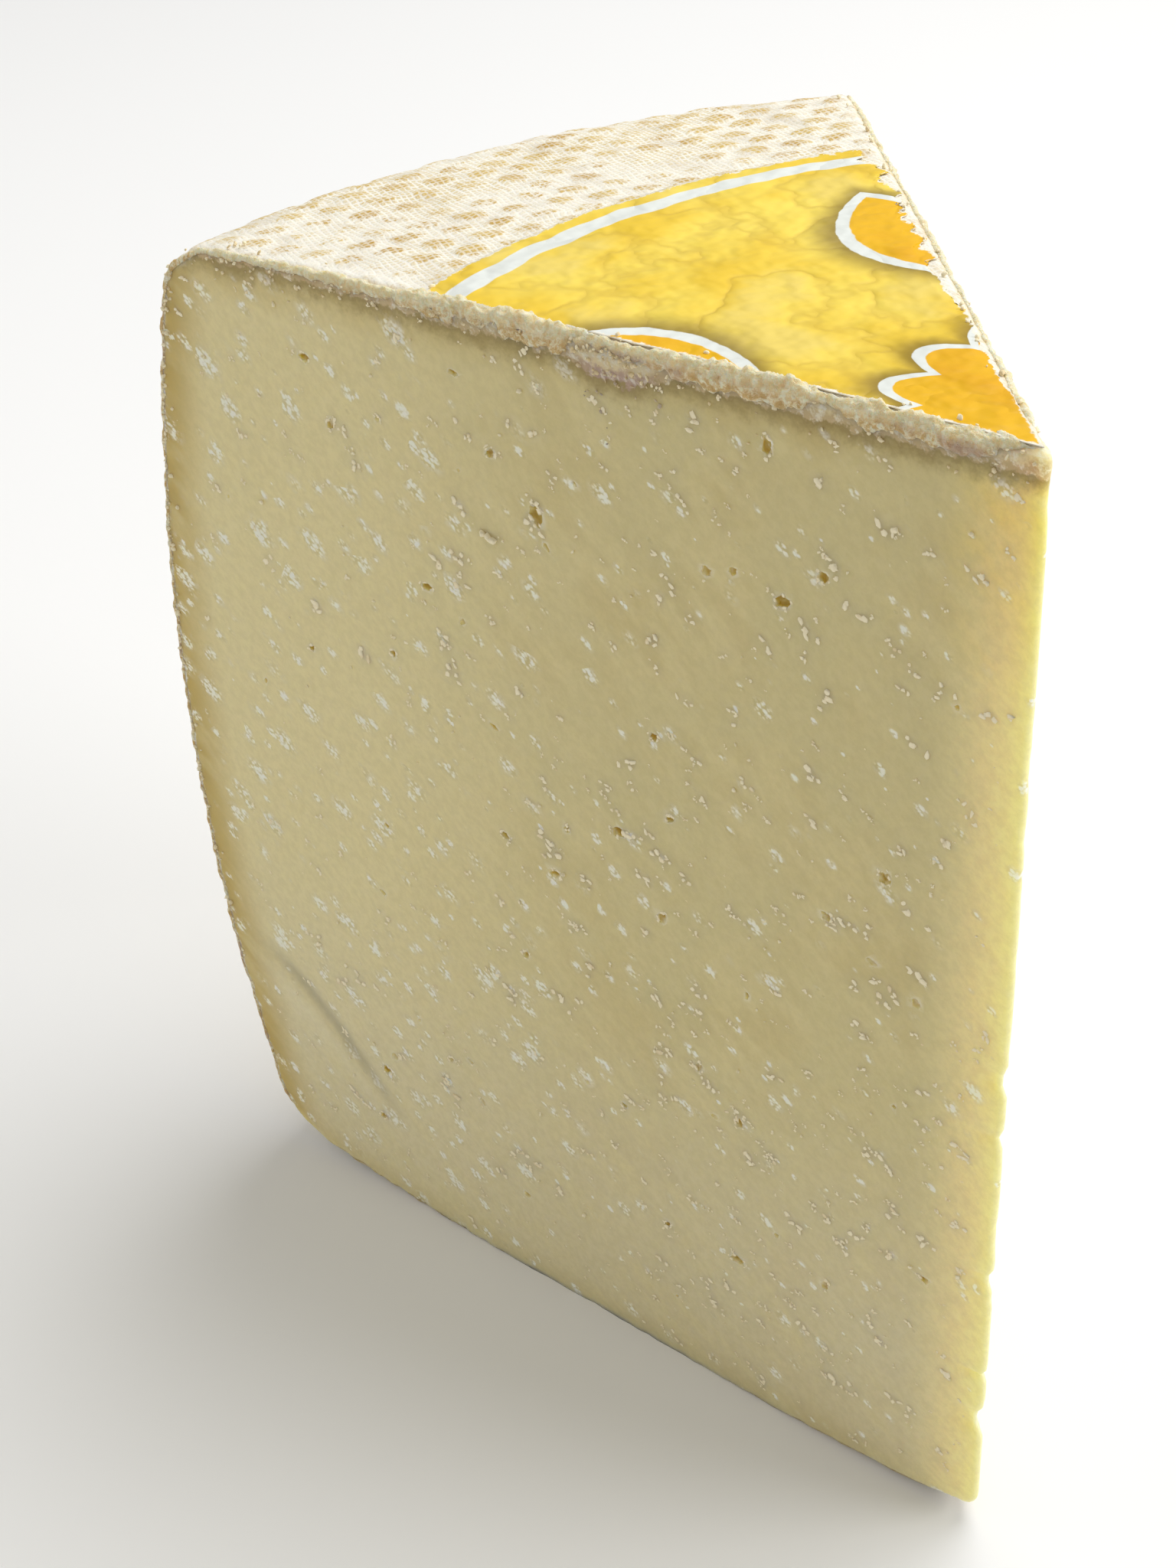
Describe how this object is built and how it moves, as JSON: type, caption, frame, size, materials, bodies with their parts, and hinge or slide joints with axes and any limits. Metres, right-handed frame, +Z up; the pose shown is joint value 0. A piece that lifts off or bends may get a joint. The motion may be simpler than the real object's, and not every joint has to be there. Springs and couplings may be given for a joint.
{
  "type": "cantal cheese wedge",
  "caption": "Upright wedge of firm pressed cheese from a tall barrel-shaped wheel, with cloth-marked rind, pale cut faces and part of a yellow paper label on top.",
  "frame": {"origin": "bottom centre of the bounding box, on the surface the wedge stands on", "axes": "+X towards the tip edge, +Y towards the back cut face with the front cut face towards -Y, +Z up"},
  "size_m": [0.2178, 0.1742, 0.2522],
  "materials": {
    "cheese": "matt, slightly waxy, translucent paste with a dry floury rind",
    "paper": "printed paper, softly glossy"
  },
  "bodies": {
    "root": {"cheese": "cheese", "label": "paper"}
  },
  "joints": []
}
